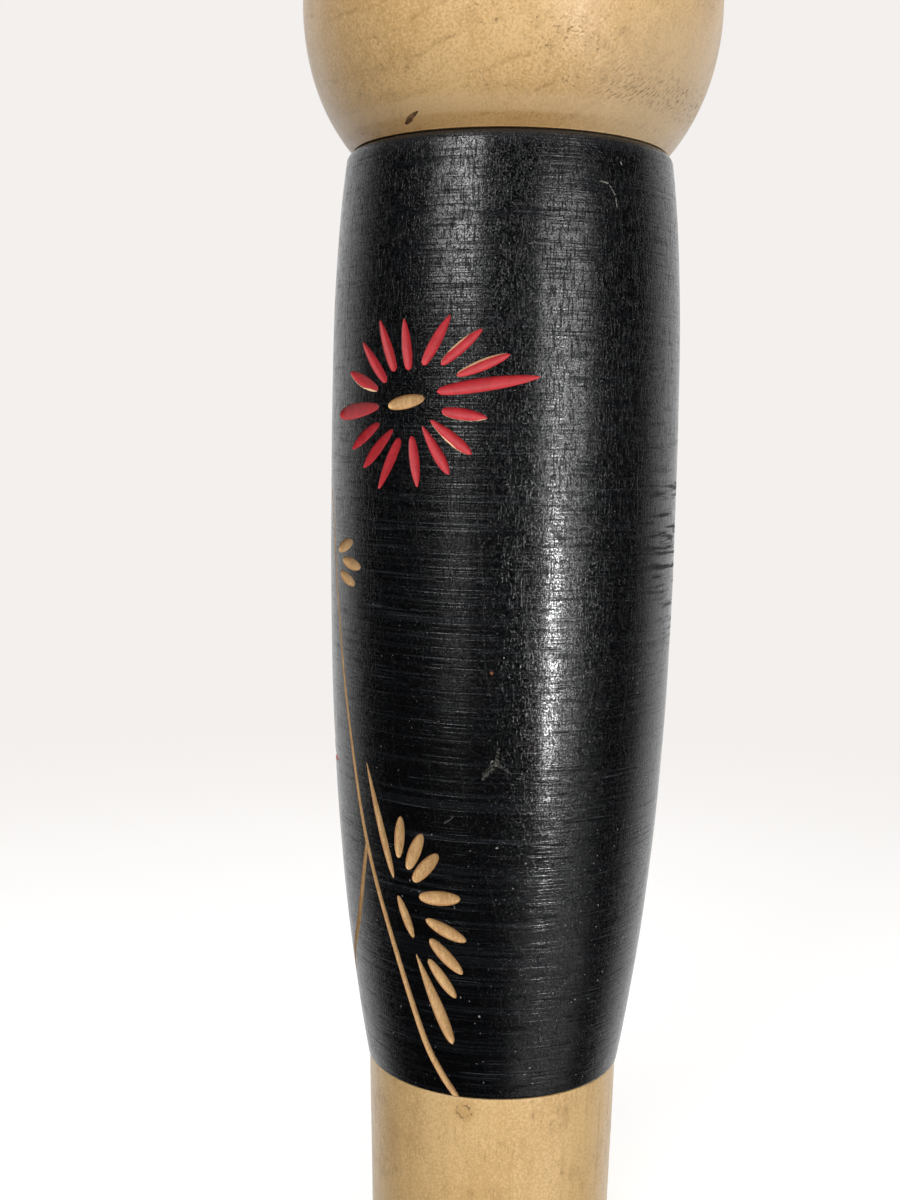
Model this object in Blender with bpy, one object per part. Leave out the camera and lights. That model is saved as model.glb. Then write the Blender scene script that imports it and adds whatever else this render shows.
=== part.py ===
"""A kokeshi doll: a turned head on a black dyed barrel with gouge-cut flowers, over a pale pedestal.

Metres, +Z up.  The origin is the centre of the pedestal's underside and the doll faces -Y.
An azimuth is in degrees round the turning axis, 0 at the front and growing towards +X.
"""

import math

import bmesh
import bpy
from mathutils import Vector

MM = 0.001
GAP = 0.3 * MM  # clearance between neighbouring pieces
LATHE_STEPS = 72

# Driving dimensions of the turned pieces
BASE_HEIGHT = 50 * MM
BASE_TOP_RADIUS = 32.1 * MM
BASE_FOOT_RADIUS = 30.8 * MM
BASE_EDGE = 1.2 * MM

BARREL_HEIGHT = 228 * MM
BARREL_RADIUS = 43.25 * MM  # at its widest
BARREL_WAIST = 150 * MM  # height of the widest line above the barrel's lower edge
BARREL_FOOT_RADIUS = 32.4 * MM
BARREL_SHOULDER_RADIUS = 39.8 * MM
FOOT_CURVE = 2.57  # exponents of the swell below and above the widest line
SHOULDER_CURVE = 3.15
BARREL_FOOT_EDGE = 0.8 * MM
BARREL_SHOULDER_EDGE = 1.8 * MM

HEAD_RADIUS = 51 * MM
HEAD_EQUATOR = 35 * MM  # height of the widest line above the head's flat underside
HEAD_HEIGHT = 85 * MM
HEAD_LOWER_CURVE = 51.5 * MM  # lower semi-axis, cut off by the flat underside
HEAD_ROUNDNESS = 2.1  # 2 would be an ellipse
HEAD_EDGE = 0.8 * MM

# Hidden pegs that join the turned pieces
PEG_RADIUS = 12 * MM
PEG_CHAMFER = 1.5 * MM
NECK_PEG_IN_HEAD = 24 * MM
NECK_PEG_IN_BARREL = 32 * MM
FOOT_PEG_IN_BARREL = 26 * MM
FOOT_PEG_IN_BASE = 24 * MM
PEG_END_ROOM = 1.5 * MM  # air left beyond a peg's end

BARREL_FOOT = BASE_HEIGHT + GAP
BARREL_TOP = BARREL_FOOT + BARREL_HEIGHT
HEAD_FOOT = BARREL_TOP + GAP

# Gouge cuts.  Lengths are in millimetres along the barrel's skin.
CUT_DEPTH = 0.36  # depth of a gouge cut over its width
CUT_LIFT = 0.5 * MM  # how far a cutter stands out of the skin

# Petals round a hub: clock angle and distance of the inner end, the same of the tip, and the width
BLOSSOM_PETALS = [
    (5, 7, -3, 20, 3.0),
    (27, 9, 29, 23, 3.0),
    (46, 11.5, 48, 25.5, 2.8),
    (64, 13.5, 66, 27.5, 2.6),
    (77, 8, 79, 33, 3.4),
    (103, 9, 101, 21, 2.9),
    (116, 7, 124, 21, 2.9),
    (138, 6.5, 145, 20.5, 2.9),
    (167, 7.5, 169, 20, 2.9),
    (190, 8, 202, 22, 2.9),
    (211, 6.5, 222, 21, 3.0),
    (242, 9, 240, 22, 2.8),
    (265, 8, 265, 27, 4.0),
    (290, 9, 290, 21.5, 3.2),
    (309, 7.5, 314, 20.5, 3.0),
    (334, 7, 336, 21, 3.1),
]
SPRAY_PETALS = [
    (352, 15, 358, 25.5, 2.8),
    (2, 12.5, 12, 22.5, 3.1),
    (11, 10, 26, 19.5, 3.2),
    (28, 7, 63, 15.5, 3.5),
    (80, 5, 103, 15.5, 3.1),
    (124, 7, 130, 18.5, 3.1),
    (150, 10.5, 146, 22, 2.7),
    (168, 8.5, 160, 32.5, 3.0),
]
BUD_PETALS = [
    (42, 5, 62, 13.5, 3.0),
    (76, 6.5, 89, 15.5, 3.0),
    (110, 5, 107, 13.5, 2.8),
]
# Where the hubs sit: azimuth, height above the barrel's lower edge, scale and turn of the petals
BLOSSOM_PLACE = (23, 168, 1.0, 0)
HANGING_BLOSSOM_PLACE = (-57, 96, 0.85, 50)
SPRAY_PLACE = (22, 45, 1.0, 0)
BUD_PLACE = (-16, 128, 1.0, 0)

# Single cuts: azimuth and height of one end and of the other, and the width
SEED_CUTS = [
    (16, 166.5, 30.5, 168.5, 3.6),
    (-57, 91.5, -57, 100.5, 3.2),
    (18, 50.5, 24, 40.5, 2.5),
    (5, 82, 16.5, 54.5, 1.9),
]
# Stems: azimuth, height and width of each point, from the foot up
MAIN_STEM = [
    (41, -1, 2.2),
    (33, 6, 2.1),
    (26, 15, 1.9),
    (15, 36.5, 1.6),
    (3, 61.5, 1.3),
    (-6, 92, 1.0),
    (-12.5, 118, 0.8),
    (-16, 133, 0.8),
    (-22, 145, 0.8),
    (-33, 151, 0.8),
    (-46, 146, 0.8),
    (-54, 132, 0.9),
    (-57, 118, 1.0),
]
SIDE_STEM = [
    (3.5, 62, 1.1),
    (-4, 46, 1.1),
    (-10, 37, 0.9),
    (-19, 29, 0.8),
    (-24, 22, 0.6),
]


def clear_scene():
    for old in list(bpy.data.objects):
        bpy.data.objects.remove(old)


def principled(name, colour, roughness):
    material = bpy.data.materials.new(name)
    material.use_nodes = True
    shader = material.node_tree.nodes["Principled BSDF"]
    shader.inputs["Base Color"].default_value = (*colour, 1)
    shader.inputs["Roughness"].default_value = roughness
    shader.inputs["Metallic"].default_value = 0
    material.diffuse_color = (*colour, 1)
    return material


def add_object(name, bm, material):
    bmesh.ops.recalc_face_normals(bm, faces=bm.faces)
    mesh = bpy.data.meshes.new(name)
    bm.to_mesh(mesh)
    bm.free()
    mesh.materials.append(material)
    thing = bpy.data.objects.new(name, mesh)
    bpy.context.scene.collection.objects.link(thing)
    return thing


def shade_turned(thing):
    thing.data.shade_smooth()
    thing.data.set_sharp_from_angle(angle=math.radians(35))


def turned(name, outline, material, steps=LATHE_STEPS):
    """A closed solid of revolution.  The outline runs from one point on the axis to another."""
    bm = bmesh.new()
    rings = []
    for radius, height in outline:
        if radius == 0:
            rings.append([bm.verts.new((0, 0, height))])
            continue
        angles = [2 * math.pi * step / steps for step in range(steps)]
        rings.append([bm.verts.new((radius * math.cos(a), radius * math.sin(a), height)) for a in angles])
    for lower, upper in zip(rings, rings[1:]):
        for step in range(steps):
            after = (step + 1) % steps
            if len(lower) == 1:
                corners = (lower[0], upper[after], upper[step])
            elif len(upper) == 1:
                corners = (lower[step], lower[after], upper[0])
            else:
                corners = (lower[step], lower[after], upper[after], upper[step])
            bm.faces.new(corners)
    thing = add_object(name, bm, material)
    shade_turned(thing)
    return thing


def corner(centre, radius, start, end, steps=3):
    """Points of an arc in the outline's plane.  Angles are in degrees, 0 outwards and 90 up."""
    points = []
    for step in range(steps + 1):
        angle = math.radians(start + (end - start) * step / steps)
        points.append((centre[0] + radius * math.cos(angle), centre[1] + radius * math.sin(angle)))
    return points


def barrel_radius(height):
    """Radius of the barrel's skin at a height above its lower edge."""
    if height < BARREL_WAIST:
        away = (BARREL_WAIST - max(height, 0)) / BARREL_WAIST
        return BARREL_RADIUS - (BARREL_RADIUS - BARREL_FOOT_RADIUS) * away**FOOT_CURVE
    away = (height - BARREL_WAIST) / (BARREL_HEIGHT - BARREL_WAIST)
    return BARREL_RADIUS - (BARREL_RADIUS - BARREL_SHOULDER_RADIUS) * away**SHOULDER_CURVE


def head_radius(height):
    """Radius of the head's skin at a height above its flat underside."""
    below = height < HEAD_EQUATOR
    half = HEAD_LOWER_CURVE if below else HEAD_HEIGHT - HEAD_EQUATOR
    away = min(abs(height - HEAD_EQUATOR) / half, 1)
    return HEAD_RADIUS * (1 - away**HEAD_ROUNDNESS) ** (1 / HEAD_ROUNDNESS)


def make_base(material):
    socket = PEG_RADIUS + GAP
    socket_floor = BASE_HEIGHT - FOOT_PEG_IN_BASE - PEG_END_ROOM
    foot = corner((BASE_FOOT_RADIUS - BASE_EDGE, BASE_EDGE), BASE_EDGE, -90, 0)
    rim = corner((BASE_TOP_RADIUS - BASE_EDGE, BASE_HEIGHT - BASE_EDGE), BASE_EDGE, 0, 90)
    bore = [(socket, BASE_HEIGHT), (socket, socket_floor), (0, socket_floor)]
    return turned("base", [(0, 0)] + foot + rim + bore, material)


def make_barrel(material):
    socket = PEG_RADIUS + GAP
    lower_end = BARREL_FOOT + FOOT_PEG_IN_BARREL + PEG_END_ROOM
    upper_end = BARREL_TOP - NECK_PEG_IN_BARREL - PEG_END_ROOM
    lower_bore = [(0, lower_end), (socket, lower_end), (socket, BARREL_FOOT)]
    upper_bore = [(socket, BARREL_TOP), (socket, upper_end), (0, upper_end)]
    foot_side = barrel_radius(BARREL_FOOT_EDGE)
    foot = corner((foot_side - BARREL_FOOT_EDGE, BARREL_FOOT + BARREL_FOOT_EDGE), BARREL_FOOT_EDGE, -90, 0)
    top_side = barrel_radius(BARREL_HEIGHT - BARREL_SHOULDER_EDGE)
    shoulder = corner(
        (top_side - BARREL_SHOULDER_EDGE, BARREL_TOP - BARREL_SHOULDER_EDGE), BARREL_SHOULDER_EDGE, 0, 90
    )
    levels = 12
    side = []
    for level in range(1, levels):
        height = BARREL_HEIGHT * level / levels
        side.append((barrel_radius(height), BARREL_FOOT + height))
    return turned("barrel", lower_bore + foot + side + shoulder + upper_bore, material)


def make_head(material):
    socket = PEG_RADIUS + GAP
    ceiling = HEAD_FOOT + NECK_PEG_IN_HEAD + PEG_END_ROOM
    bore = [(0, ceiling), (socket, ceiling), (socket, HEAD_FOOT)]
    edge_side = head_radius(HEAD_EDGE)
    edge = corner((edge_side - HEAD_EDGE, HEAD_FOOT + HEAD_EDGE), HEAD_EDGE, -90, -20, steps=2)
    levels = 18
    side = []
    for level in range(1, levels):
        swing = math.pi * level / levels  # closer points towards the crown
        height = HEAD_EDGE + (HEAD_HEIGHT - HEAD_EDGE) * (1 - math.cos(swing)) / 2
        side.append((head_radius(height), HEAD_FOOT + height))
    return turned("head", bore + edge + side + [(0, HEAD_FOOT + HEAD_HEIGHT)], material)


def make_peg(name, low, high, material):
    """A round peg with chamfered ends."""
    outline = [(0, low), (PEG_RADIUS - PEG_CHAMFER, low), (PEG_RADIUS, low + PEG_CHAMFER)]
    outline += [(PEG_RADIUS, high - PEG_CHAMFER), (PEG_RADIUS - PEG_CHAMFER, high), (0, high)]
    return turned(name, outline, material, steps=36)


def on_barrel(azimuth, height, lift):
    """A point at a lift above the barrel's skin.  Azimuth in degrees, height above the lower edge."""
    radius = barrel_radius(height) + lift
    turn = math.radians(azimuth)
    return Vector((radius * math.sin(turn), -radius * math.cos(turn), BARREL_FOOT + height))


def add_gouge(bm, spine, open_end=False):
    """Adds a closed cutter along a spine of (azimuth, height, half width) with heights in metres.

    The cutter's ends taper to a point, but a spine with open_end starts at full width.
    """
    section = [(-1.2, None), (-1, 0), (-0.5, -0.9), (0.5, -0.9), (1, 0), (1.2, None)]
    rings = []
    for index, (azimuth, height, half_width) in enumerate(spine):
        last = len(spine) - 1
        before = spine[max(index - 1, 0)]
        after = spine[min(index + 1, last)]
        radius = barrel_radius(height)
        along = Vector((math.radians(after[0] - before[0]) * radius, after[1] - before[1])).normalized()
        if index == last or (index == 0 and not open_end):
            rings.append([bm.verts.new(on_barrel(azimuth, height, CUT_LIFT / 4))])
            continue
        depth = 2 * half_width * CUT_DEPTH
        ring = []
        for across, down in section:
            shift = across * half_width
            lift = CUT_LIFT if down is None else down * depth
            side_azimuth = azimuth + math.degrees(along.y * shift / radius)
            ring.append(bm.verts.new(on_barrel(side_azimuth, height - along.x * shift, lift)))
        rings.append(ring)
    for first, second in zip(rings, rings[1:]):
        for step in range(len(section)):
            after = (step + 1) % len(section)
            if len(first) == 1:
                bm.faces.new((first[0], second[step], second[after]))
            elif len(second) == 1:
                bm.faces.new((first[step], second[0], first[after]))
            else:
                bm.faces.new((first[step], second[step], second[after], first[after]))
    if open_end:
        bm.faces.new(rings[0])


def spindle(inner, tip, width, rings=6):
    """The spine of a petal: fullest near its middle, tapering to both ends."""
    spine = []
    for ring in range(rings):
        share = ring / (rings - 1)
        swell = math.sin(math.pi * share**0.85) ** 0.7
        azimuth = inner[0] + (tip[0] - inner[0]) * share
        height = (inner[1] + (tip[1] - inner[1]) * share) * MM
        spine.append((azimuth, height, width / 2 * swell * MM))
    return spine


def petal_spines(petals, place):
    """The petals round a hub, as spines on the barrel."""
    hub_azimuth, hub_height, scale, turn = place
    radius = barrel_radius(hub_height * MM) / MM
    spines = []
    for inner_clock, inner_far, tip_clock, tip_far, width in petals:
        ends = []
        for clock, far in ((inner_clock, inner_far), (tip_clock, tip_far)):
            angle = math.radians(clock + turn)
            azimuth = hub_azimuth + math.degrees(math.sin(angle) * far * scale / radius)
            ends.append((azimuth, hub_height + math.cos(angle) * far * scale))
        spines.append(spindle(ends[0], ends[1], width * math.sqrt(scale)))
    return spines


def stem_spine(points, pieces=2):
    """A smooth stem through its points, with a few pieces between one point and the next."""
    spine = []
    for index in range(len(points) - 1):
        before = points[max(index - 1, 0)]
        start = points[index]
        end = points[index + 1]
        after = points[min(index + 2, len(points) - 1)]
        for piece in range(pieces):
            t = piece / pieces
            place = []
            for a, b, c, d in zip(before, start, end, after):
                bend = (2 * a - 5 * b + 4 * c - d) * t**2 + (3 * b - a - 3 * c + d) * t**3
                place.append(b + 0.5 * ((c - a) * t + bend))
            spine.append(place)
    spine.append(list(points[-1]))
    return [(azimuth, height * MM, width / 2 * MM) for azimuth, height, width in spine]


def add_cutter(name, bm, barrel, material):
    cutter = add_object(name, bm, material)
    cutter.hide_render = True
    cutter.display_type = "WIRE"
    cut = barrel.modifiers.new(name, "BOOLEAN")
    cut.operation = "DIFFERENCE"
    cut.object = cutter


def carve(barrel, material):
    """Cuts the flowers and stems into the barrel's skin."""
    flowers = bmesh.new()
    spines = petal_spines(BLOSSOM_PETALS, BLOSSOM_PLACE)
    spines += petal_spines(BLOSSOM_PETALS, HANGING_BLOSSOM_PLACE)
    spines += petal_spines(SPRAY_PETALS, SPRAY_PLACE)
    spines += petal_spines(BUD_PETALS, BUD_PLACE)
    for azimuth, height, tip_azimuth, tip_height, width in SEED_CUTS:
        spines.append(spindle((azimuth, height), (tip_azimuth, tip_height), width))
    for spine in spines:
        add_gouge(flowers, spine)
    add_cutter("flower_cutter", flowers, barrel, material)
    stem = bmesh.new()
    add_gouge(stem, stem_spine(MAIN_STEM), open_end=True)
    add_cutter("stem_cutter", stem, barrel, material)
    side_stem = bmesh.new()
    add_gouge(side_stem, stem_spine(SIDE_STEM))
    add_cutter("side_stem_cutter", side_stem, barrel, material)


def build():
    clear_scene()
    varnished = principled("varnished_wood", (0.60, 0.42, 0.22), 0.35)
    dyed = principled("black_dyed_wood", (0.012, 0.011, 0.011), 0.38)
    raw = principled("raw_wood", (0.66, 0.49, 0.29), 0.7)
    make_base(varnished)
    barrel = make_barrel(dyed)
    carve(barrel, raw)
    make_head(varnished)
    make_peg("foot_peg", BASE_HEIGHT - FOOT_PEG_IN_BASE, BARREL_FOOT + FOOT_PEG_IN_BARREL, raw)
    make_peg("neck_peg", BARREL_TOP - NECK_PEG_IN_BARREL, HEAD_FOOT + NECK_PEG_IN_HEAD, raw)


build()
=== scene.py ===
"""The looks of the kokeshi doll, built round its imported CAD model.

The barrel, head and base are made again as fine meshes.  The barrel's gouge cuts are real cuts.
Everything is in metres.  An azimuth is in degrees round the turning axis, 0 at the doll's front (-Y)
and growing towards +X.
"""

import math

import bmesh
import bpy
import numpy as np
from mathutils import Matrix, Vector


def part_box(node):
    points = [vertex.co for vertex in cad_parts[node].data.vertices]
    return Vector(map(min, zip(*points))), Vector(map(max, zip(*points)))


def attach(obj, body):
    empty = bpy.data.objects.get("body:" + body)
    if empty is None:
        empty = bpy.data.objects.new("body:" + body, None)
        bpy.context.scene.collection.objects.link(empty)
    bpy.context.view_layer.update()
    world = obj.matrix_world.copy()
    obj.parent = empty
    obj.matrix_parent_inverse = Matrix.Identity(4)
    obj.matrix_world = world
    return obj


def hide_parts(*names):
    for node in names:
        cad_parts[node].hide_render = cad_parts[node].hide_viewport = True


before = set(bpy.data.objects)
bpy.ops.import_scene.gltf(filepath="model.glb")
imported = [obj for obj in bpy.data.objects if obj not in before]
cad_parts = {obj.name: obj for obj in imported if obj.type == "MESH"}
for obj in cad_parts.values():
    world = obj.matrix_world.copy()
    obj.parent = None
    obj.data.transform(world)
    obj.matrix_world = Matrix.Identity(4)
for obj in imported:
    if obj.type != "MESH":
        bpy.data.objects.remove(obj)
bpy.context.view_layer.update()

MM = 0.001
BARREL_LOW, BARREL_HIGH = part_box("barrel")
HEAD_LOW, HEAD_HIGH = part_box("head")
BASE_LOW, BASE_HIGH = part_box("base")

# The barrel's turned profile: two swells that meet at its widest line
BARREL_FOOT = BARREL_LOW.z
BARREL_HEIGHT = BARREL_HIGH.z - BARREL_LOW.z
BARREL_RADIUS = 43.25 * MM
BARREL_WAIST = 150 * MM
BARREL_FOOT_RADIUS = 32.4 * MM
BARREL_SHOULDER_RADIUS = 39.8 * MM
FOOT_CURVE = 2.57
SHOULDER_CURVE = 3.15
BARREL_FOOT_EDGE = 0.8 * MM
BARREL_SHOULDER_EDGE = 2.6 * MM
SOCKET_RADIUS = 12.3 * MM
UPPER_SOCKET = 33.5 * MM
LOWER_SOCKET = 27.5 * MM

# The head's profile, an ovoid cut off flat below
HEAD_RADIUS = 51 * MM
HEAD_EQUATOR = 35 * MM
HEAD_HEIGHT = HEAD_HIGH.z - HEAD_LOW.z
HEAD_LOWER_CURVE = 51.5 * MM
HEAD_ROUNDNESS = 2.1
HEAD_EDGE = 0.25 * MM
HEAD_SOCKET = 25.5 * MM
SEAM = 0.2 * MM  # the visible head and base close in on the barrel by this much

BASE_TOP_RADIUS = 32.1 * MM
BASE_FOOT_RADIUS = 30.8 * MM
BASE_EDGE = 1.2 * MM
BASE_RIM = 0.4 * MM
BASE_SOCKET = 25.5 * MM

# Gouge cuts, in millimetres along the barrel's skin and degrees.
# Petals round a hub: clock angle and distance of the inner end, the same of the tip, the width,
# and how far along the petal is fullest
BLOSSOM_PETALS = [
    (5, 7.4, -3, 19.2, 2.8, 0.40),
    (27, 9.5, 29, 22.6, 2.8, 0.42),
    (46, 12.3, 48, 24.8, 2.6, 0.46),
    (64, 14, 66, 27.1, 2.6, 0.50),
    (72, 8.3, 79, 32.3, 3.2, 0.42),
    (100.5, 9.3, 99, 20.2, 2.8, 0.44),
    (120, 7.4, 124.5, 20, 2.8, 0.60),
    (139, 6.7, 145, 19.6, 2.8, 0.62),
    (167, 7.5, 170, 19.4, 2.7, 0.46),
    (191, 8, 202, 21.4, 2.8, 0.40),
    (211, 6.9, 222, 20.3, 2.9, 0.56),
    (240, 9.1, 240, 21.5, 2.7, 0.50),
    (265, 8, 264, 26.6, 3.8, 0.55),
    (290, 9, 290, 21.5, 3.0, 0.48),
    (309, 7.5, 314, 20.4, 2.8, 0.40),
    (335, 7.9, 336, 20.8, 2.9, 0.38),
]
SPRAY_PETALS = [
    (352, 15, 358, 25.5, 3.0, 0.50),
    (2, 12.5, 12, 22.5, 3.3, 0.50),
    (11, 10, 26, 19.5, 3.4, 0.50),
    (28, 7, 63, 15.5, 3.7, 0.50),
    (80, 5, 103, 15.5, 3.3, 0.50),
    (124, 7, 130, 18.5, 3.3, 0.46),
    (150, 10.5, 146, 22, 2.9, 0.50),
    (168, 8.5, 160, 32.5, 3.2, 0.66),
]
BUD_PETALS = [
    (42, 5, 62, 13.5, 3.0, 0.50),
    (76, 6.5, 89, 15.5, 3.0, 0.50),
    (110, 5, 107, 13.5, 2.8, 0.50),
]
# Where the hubs sit: azimuth, height above the barrel's lower edge, scale and turn of the petals
BLOSSOM_PLACE = (23.6, 166.9, 1.0, 0)
HANGING_BLOSSOM_PLACE = (-55.0, 78.6, 0.85, 11)
SPRAY_PLACE = (22.9, 44.7, 1.0, 0)
BUD_PLACE = (-16, 128, 1.0, 0)
# Single cuts: azimuth and height of one end and of the other, the width, and where they are fullest
SEED_CUTS = [
    (16.6, 166.2, 30.2, 168.1, 3.2, 0.50),
    (-60.9, 78.6, -49.1, 78.6, 3.0, 0.50),
    (18.9, 50.2, 24.9, 40.2, 2.5, 0.50),
    (6, 81.7, 17.4, 54.1, 2.3, 0.64),
]
# Stems: azimuth, height and width of each point, from the foot up
MAIN_STEM = [
    (41.2, -1, 0.9),
    (38.8, 1.2, 1.7),
    (33, 6.6, 1.9),
    (26.5, 15, 1.8),
    (15.9, 36.5, 1.6),
    (4.2, 61.5, 1.4),
    (-4.9, 92, 1.1),
    (-12, 118, 0.9),
    (-16, 133, 0.8),
    (-22, 145, 0.8),
    (-33, 151, 0.8),
    (-44, 146, 0.8),
    (-51, 132, 0.8),
    (-54, 116, 0.9),
    (-55, 100, 1.0),
]
SIDE_STEM = [
    (4.7, 62, 1.2),
    (-2.8, 46, 1.8),
    (-9, 37, 1.9),
    (-18, 29, 1.7),
    (-24, 22, 1.2),
]
# Dents in the head: azimuth and height of both ends and the width
DENTS = [(25.4, 3.7, 19.2, 2.0, 0.95), (22.4, 2.3, 18.4, 1.6, 0.7)]
DENT_FULLEST = 0.62
# The painted hair: azimuth away from the front, and height of its lower edge above the head's underside
HAIRLINE = [(0, 62.5), (20, 62), (33, 60.5), (38, 58), (42, 53), (47, 50), (60, 49), (110, 47), (180, 41)]
HAIR_HEIGHT = 0.22 * MM
HAIR_ROOT = 0.3 * MM
HAIR_BRUSH_RELIEF = 0.035 * MM
CROWN_RINGS = (9 * MM, 11.5 * MM)  # how far from the crown's middle its two grooves run
CROWN_RING_WIDTH = 0.45 * MM
CROWN_RING_DEPTH = 0.16 * MM
# Ink strokes of one half of the face, as azimuth, height above the head's underside and width
FACE_STROKES = [
    [(9.5, 50.6, 0.2), (14, 52.6, 0.9), (20, 53.4, 1.2), (26, 52.4, 0.9), (30, 50.4, 0.2)],
    [(13.5, 50.2, 0.2), (19, 49.4, 0.5), (25, 50.2, 0.2)],
    [(16.8, 51.2, 0.3), (19.5, 51.3, 2.3), (22.2, 51.2, 0.3)],
    [(9, 57.4, 0.2), (16, 59.4, 0.8), (24, 59.2, 0.7), (30, 57.4, 0.2)],
]
NOSE = [(-2.2, 47.2, 0.2), (0, 45.8, 0.6), (2.2, 47.2, 0.2)]
# Lips, as single strokes: azimuth and height of both ends and the width
LIPS = [(-4.2, 42.2, 4.2, 42.2, 1.3), (-2.8, 41.0, 2.8, 41.0, 1.2)]
# Light scuffs and lint on the barrel: azimuth and height of both ends, width in mm and strength
MARKS = [
    (54.8, 85.0, 51.2, 82.3, 1.1, 0.24),
    (54.4, 84.7, 50.4, 81.1, 0.50, 0.22),
    (54.4, 84.7, 55.2, 88.3, 0.60, 0.24),
    (54.9, 84.5, 59.0, 82.9, 0.45, 0.24),
    (56.4, 86.3, 58.6, 87.3, 0.35, 0.20),
    (84.6, 217.0, 88.0, 216.6, 0.20, 1.6),
    (88.0, 216.6, 90.4, 214.2, 0.20, 1.6),
    (90.4, 214.2, 91.0, 211.6, 0.18, 1.4),
    (93.3, 221.7, 93.7, 221.4, 0.30, 1.6),
    (61.5, 137.5, 61.8, 131.0, 0.18, 0.45),
    (75.5, 96.5, 79.5, 98.8, 0.3, 0.5),
    (69.5, 204.0, 71.0, 205.5, 0.25, 0.6),
    (38.0, 70.0, 40.5, 71.5, 0.3, 0.5),
]
# Places in the finishes, as azimuth and height.  On the barrel: the middle of its growth rings, a patch
# rubbed dull in streaks, and a brown spot
BARREL_RINGS = (76, 168)
RUBBED_PATCH = (133, 134)
BROWN_SPOT = (52.6, 106)
# On the head: the middle of its growth rings, a worn patch with torn fibres, and the greyer side
HEAD_RINGS = (8, 52)
WORN_PATCH = (112, 8)
GREY_SIDE = (-30, 20)
# On the base
KNOT = (43.5, 46.8)

RED, BARE = 1, 2  # the barrel's material slots for cuts.  Slot 0 is its black dye
# Roundness of the inner and the outer end of a cut: 0.5 for an ellipse and more for a point
RED_ENDS = (0.42, 0.60)
BARE_ENDS = (0.43, 0.46)
BROAD_ENDS = (0.38, 0.46)
BROAD_PETAL = 3.3  # petals wider than this have broad ends
LIP_ENDS = (0.7, 0.7)
CUT_DEPTH = 0.28  # depth of a cut over its width
PETAL_FLATNESS = 3.0  # 2 is a round section, more has a flatter floor and steeper sides
STEM_FLATNESS = 1.5
CUT_LIFT = 0.5 * MM  # how far a cutter stands out of the skin
CUT_FLARE = 1.15  # and how much wider it is there
TIP_LIFT = 0.02 * MM
PAINT_HEIGHT = 0.12 * MM
PAINT_ROOT = 0.15 * MM
# Petals of the blossom whose paint leaves a rim of bare wood: the side it is on and its width,
# both in half widths of the petal, and where along the petal it starts and ends
PAINT_RIMS = {
    2: (-1, 0.20, 0.25, 0.72),
    3: (-1, 0.26, -0.10, 0.98),
    5: (1, 0.24, 0.78, 1.05),
    6: (1, 0.14, 0.35, 0.72),
    13: (-1, 0.28, -0.15, 0.42),
}

CAMERA_AZIMUTH = 55
CAMERA_DISTANCE = 385.4 * MM
CAMERA_HEIGHT = 209.8 * MM
CAMERA_YAW = -1.93  # degrees away from looking straight at the turning axis
CAMERA_PITCH = -6.14
CAMERA_ROLL = 0.91
LENS = 45.6
BACKGROUND = (0.90, 0.87, 0.85)
FLOOR_GLOW = 0.28
SOFTBOX_DISTANCE = 1.6
# Soft lights: name, azimuth from the camera's side, elevation, width, height, radiance
SOFTBOXES = [
    ("window_left", -27, 23, 0.42, 0.75, 6.6),
    ("window_left_side", -41, 23, 0.4, 0.7, 4.2),
    ("window_left_low", -29, -6, 0.5, 0.6, 0.65),
    ("window_right", 37, 9.5, 0.9, 0.62, 4.1),
    ("window_right_low", 40, -12, 0.60, 0.52, 2.9),
    ("window_right_core", 34, -11, 0.18, 0.4, 42.0),
    ("ceiling", 90, 88, 2.2, 2.2, 1.3),
    ("fill", 5, 30, 1.8, 1.4, 1.6),
]


# ---- shapes


def ripple(azimuth, height):
    """The slight unevenness of hand turning, in metres.  Azimuth in radians."""
    slow = np.sin(2 * azimuth + 0.7 + 14 * height) + 0.6 * np.sin(3 * azimuth - 31 * height)
    return (0.035 * slow + 0.02 * np.sin(210 * height + np.sin(azimuth))) * MM


def barrel_radius(height):
    """Radius of the barrel's skin at a height above its lower edge."""
    height = np.clip(height, 0, BARREL_HEIGHT)
    below = np.maximum(BARREL_WAIST - height, 0) / BARREL_WAIST
    above = np.maximum(height - BARREL_WAIST, 0) / (BARREL_HEIGHT - BARREL_WAIST)
    lower = (BARREL_RADIUS - BARREL_FOOT_RADIUS) * below**FOOT_CURVE
    upper = (BARREL_RADIUS - BARREL_SHOULDER_RADIUS) * above**SHOULDER_CURVE
    return BARREL_RADIUS - lower - upper


def head_radius(height):
    """Radius of the head's skin at a height above its flat underside."""
    half = np.where(height < HEAD_EQUATOR, HEAD_LOWER_CURVE, HEAD_HEIGHT - HEAD_EQUATOR)
    away = np.clip(np.abs(height - HEAD_EQUATOR) / half, 0, 1)
    return HEAD_RADIUS * (1 - away**HEAD_ROUNDNESS) ** (1 / HEAD_ROUNDNESS)


def base_radius(height):
    """Radius of the base's skin at a height above its foot."""
    return BASE_FOOT_RADIUS + (BASE_TOP_RADIUS - BASE_FOOT_RADIUS) * height / (BASE_HIGH.z - BASE_LOW.z)


def on_skin(skin, azimuth, height, lift):
    """A point at a lift above a turned skin, which is a radius function and the height of its foot."""
    turn = math.radians(azimuth)
    radius = float(skin[0](height) + ripple(turn, height)) + lift
    return Vector((radius * math.sin(turn), -radius * math.cos(turn), skin[1] + height))


BARREL_SKIN = (barrel_radius, BARREL_FOOT)
HEAD_SKIN = (head_radius, HEAD_LOW.z - SEAM)
BASE_SKIN = (base_radius, BASE_LOW.z)


def place_on(skin, place):
    """The point of a turned skin at an azimuth and a height in millimetres."""
    return on_skin(skin, place[0], place[1] * MM, 0)


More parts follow.
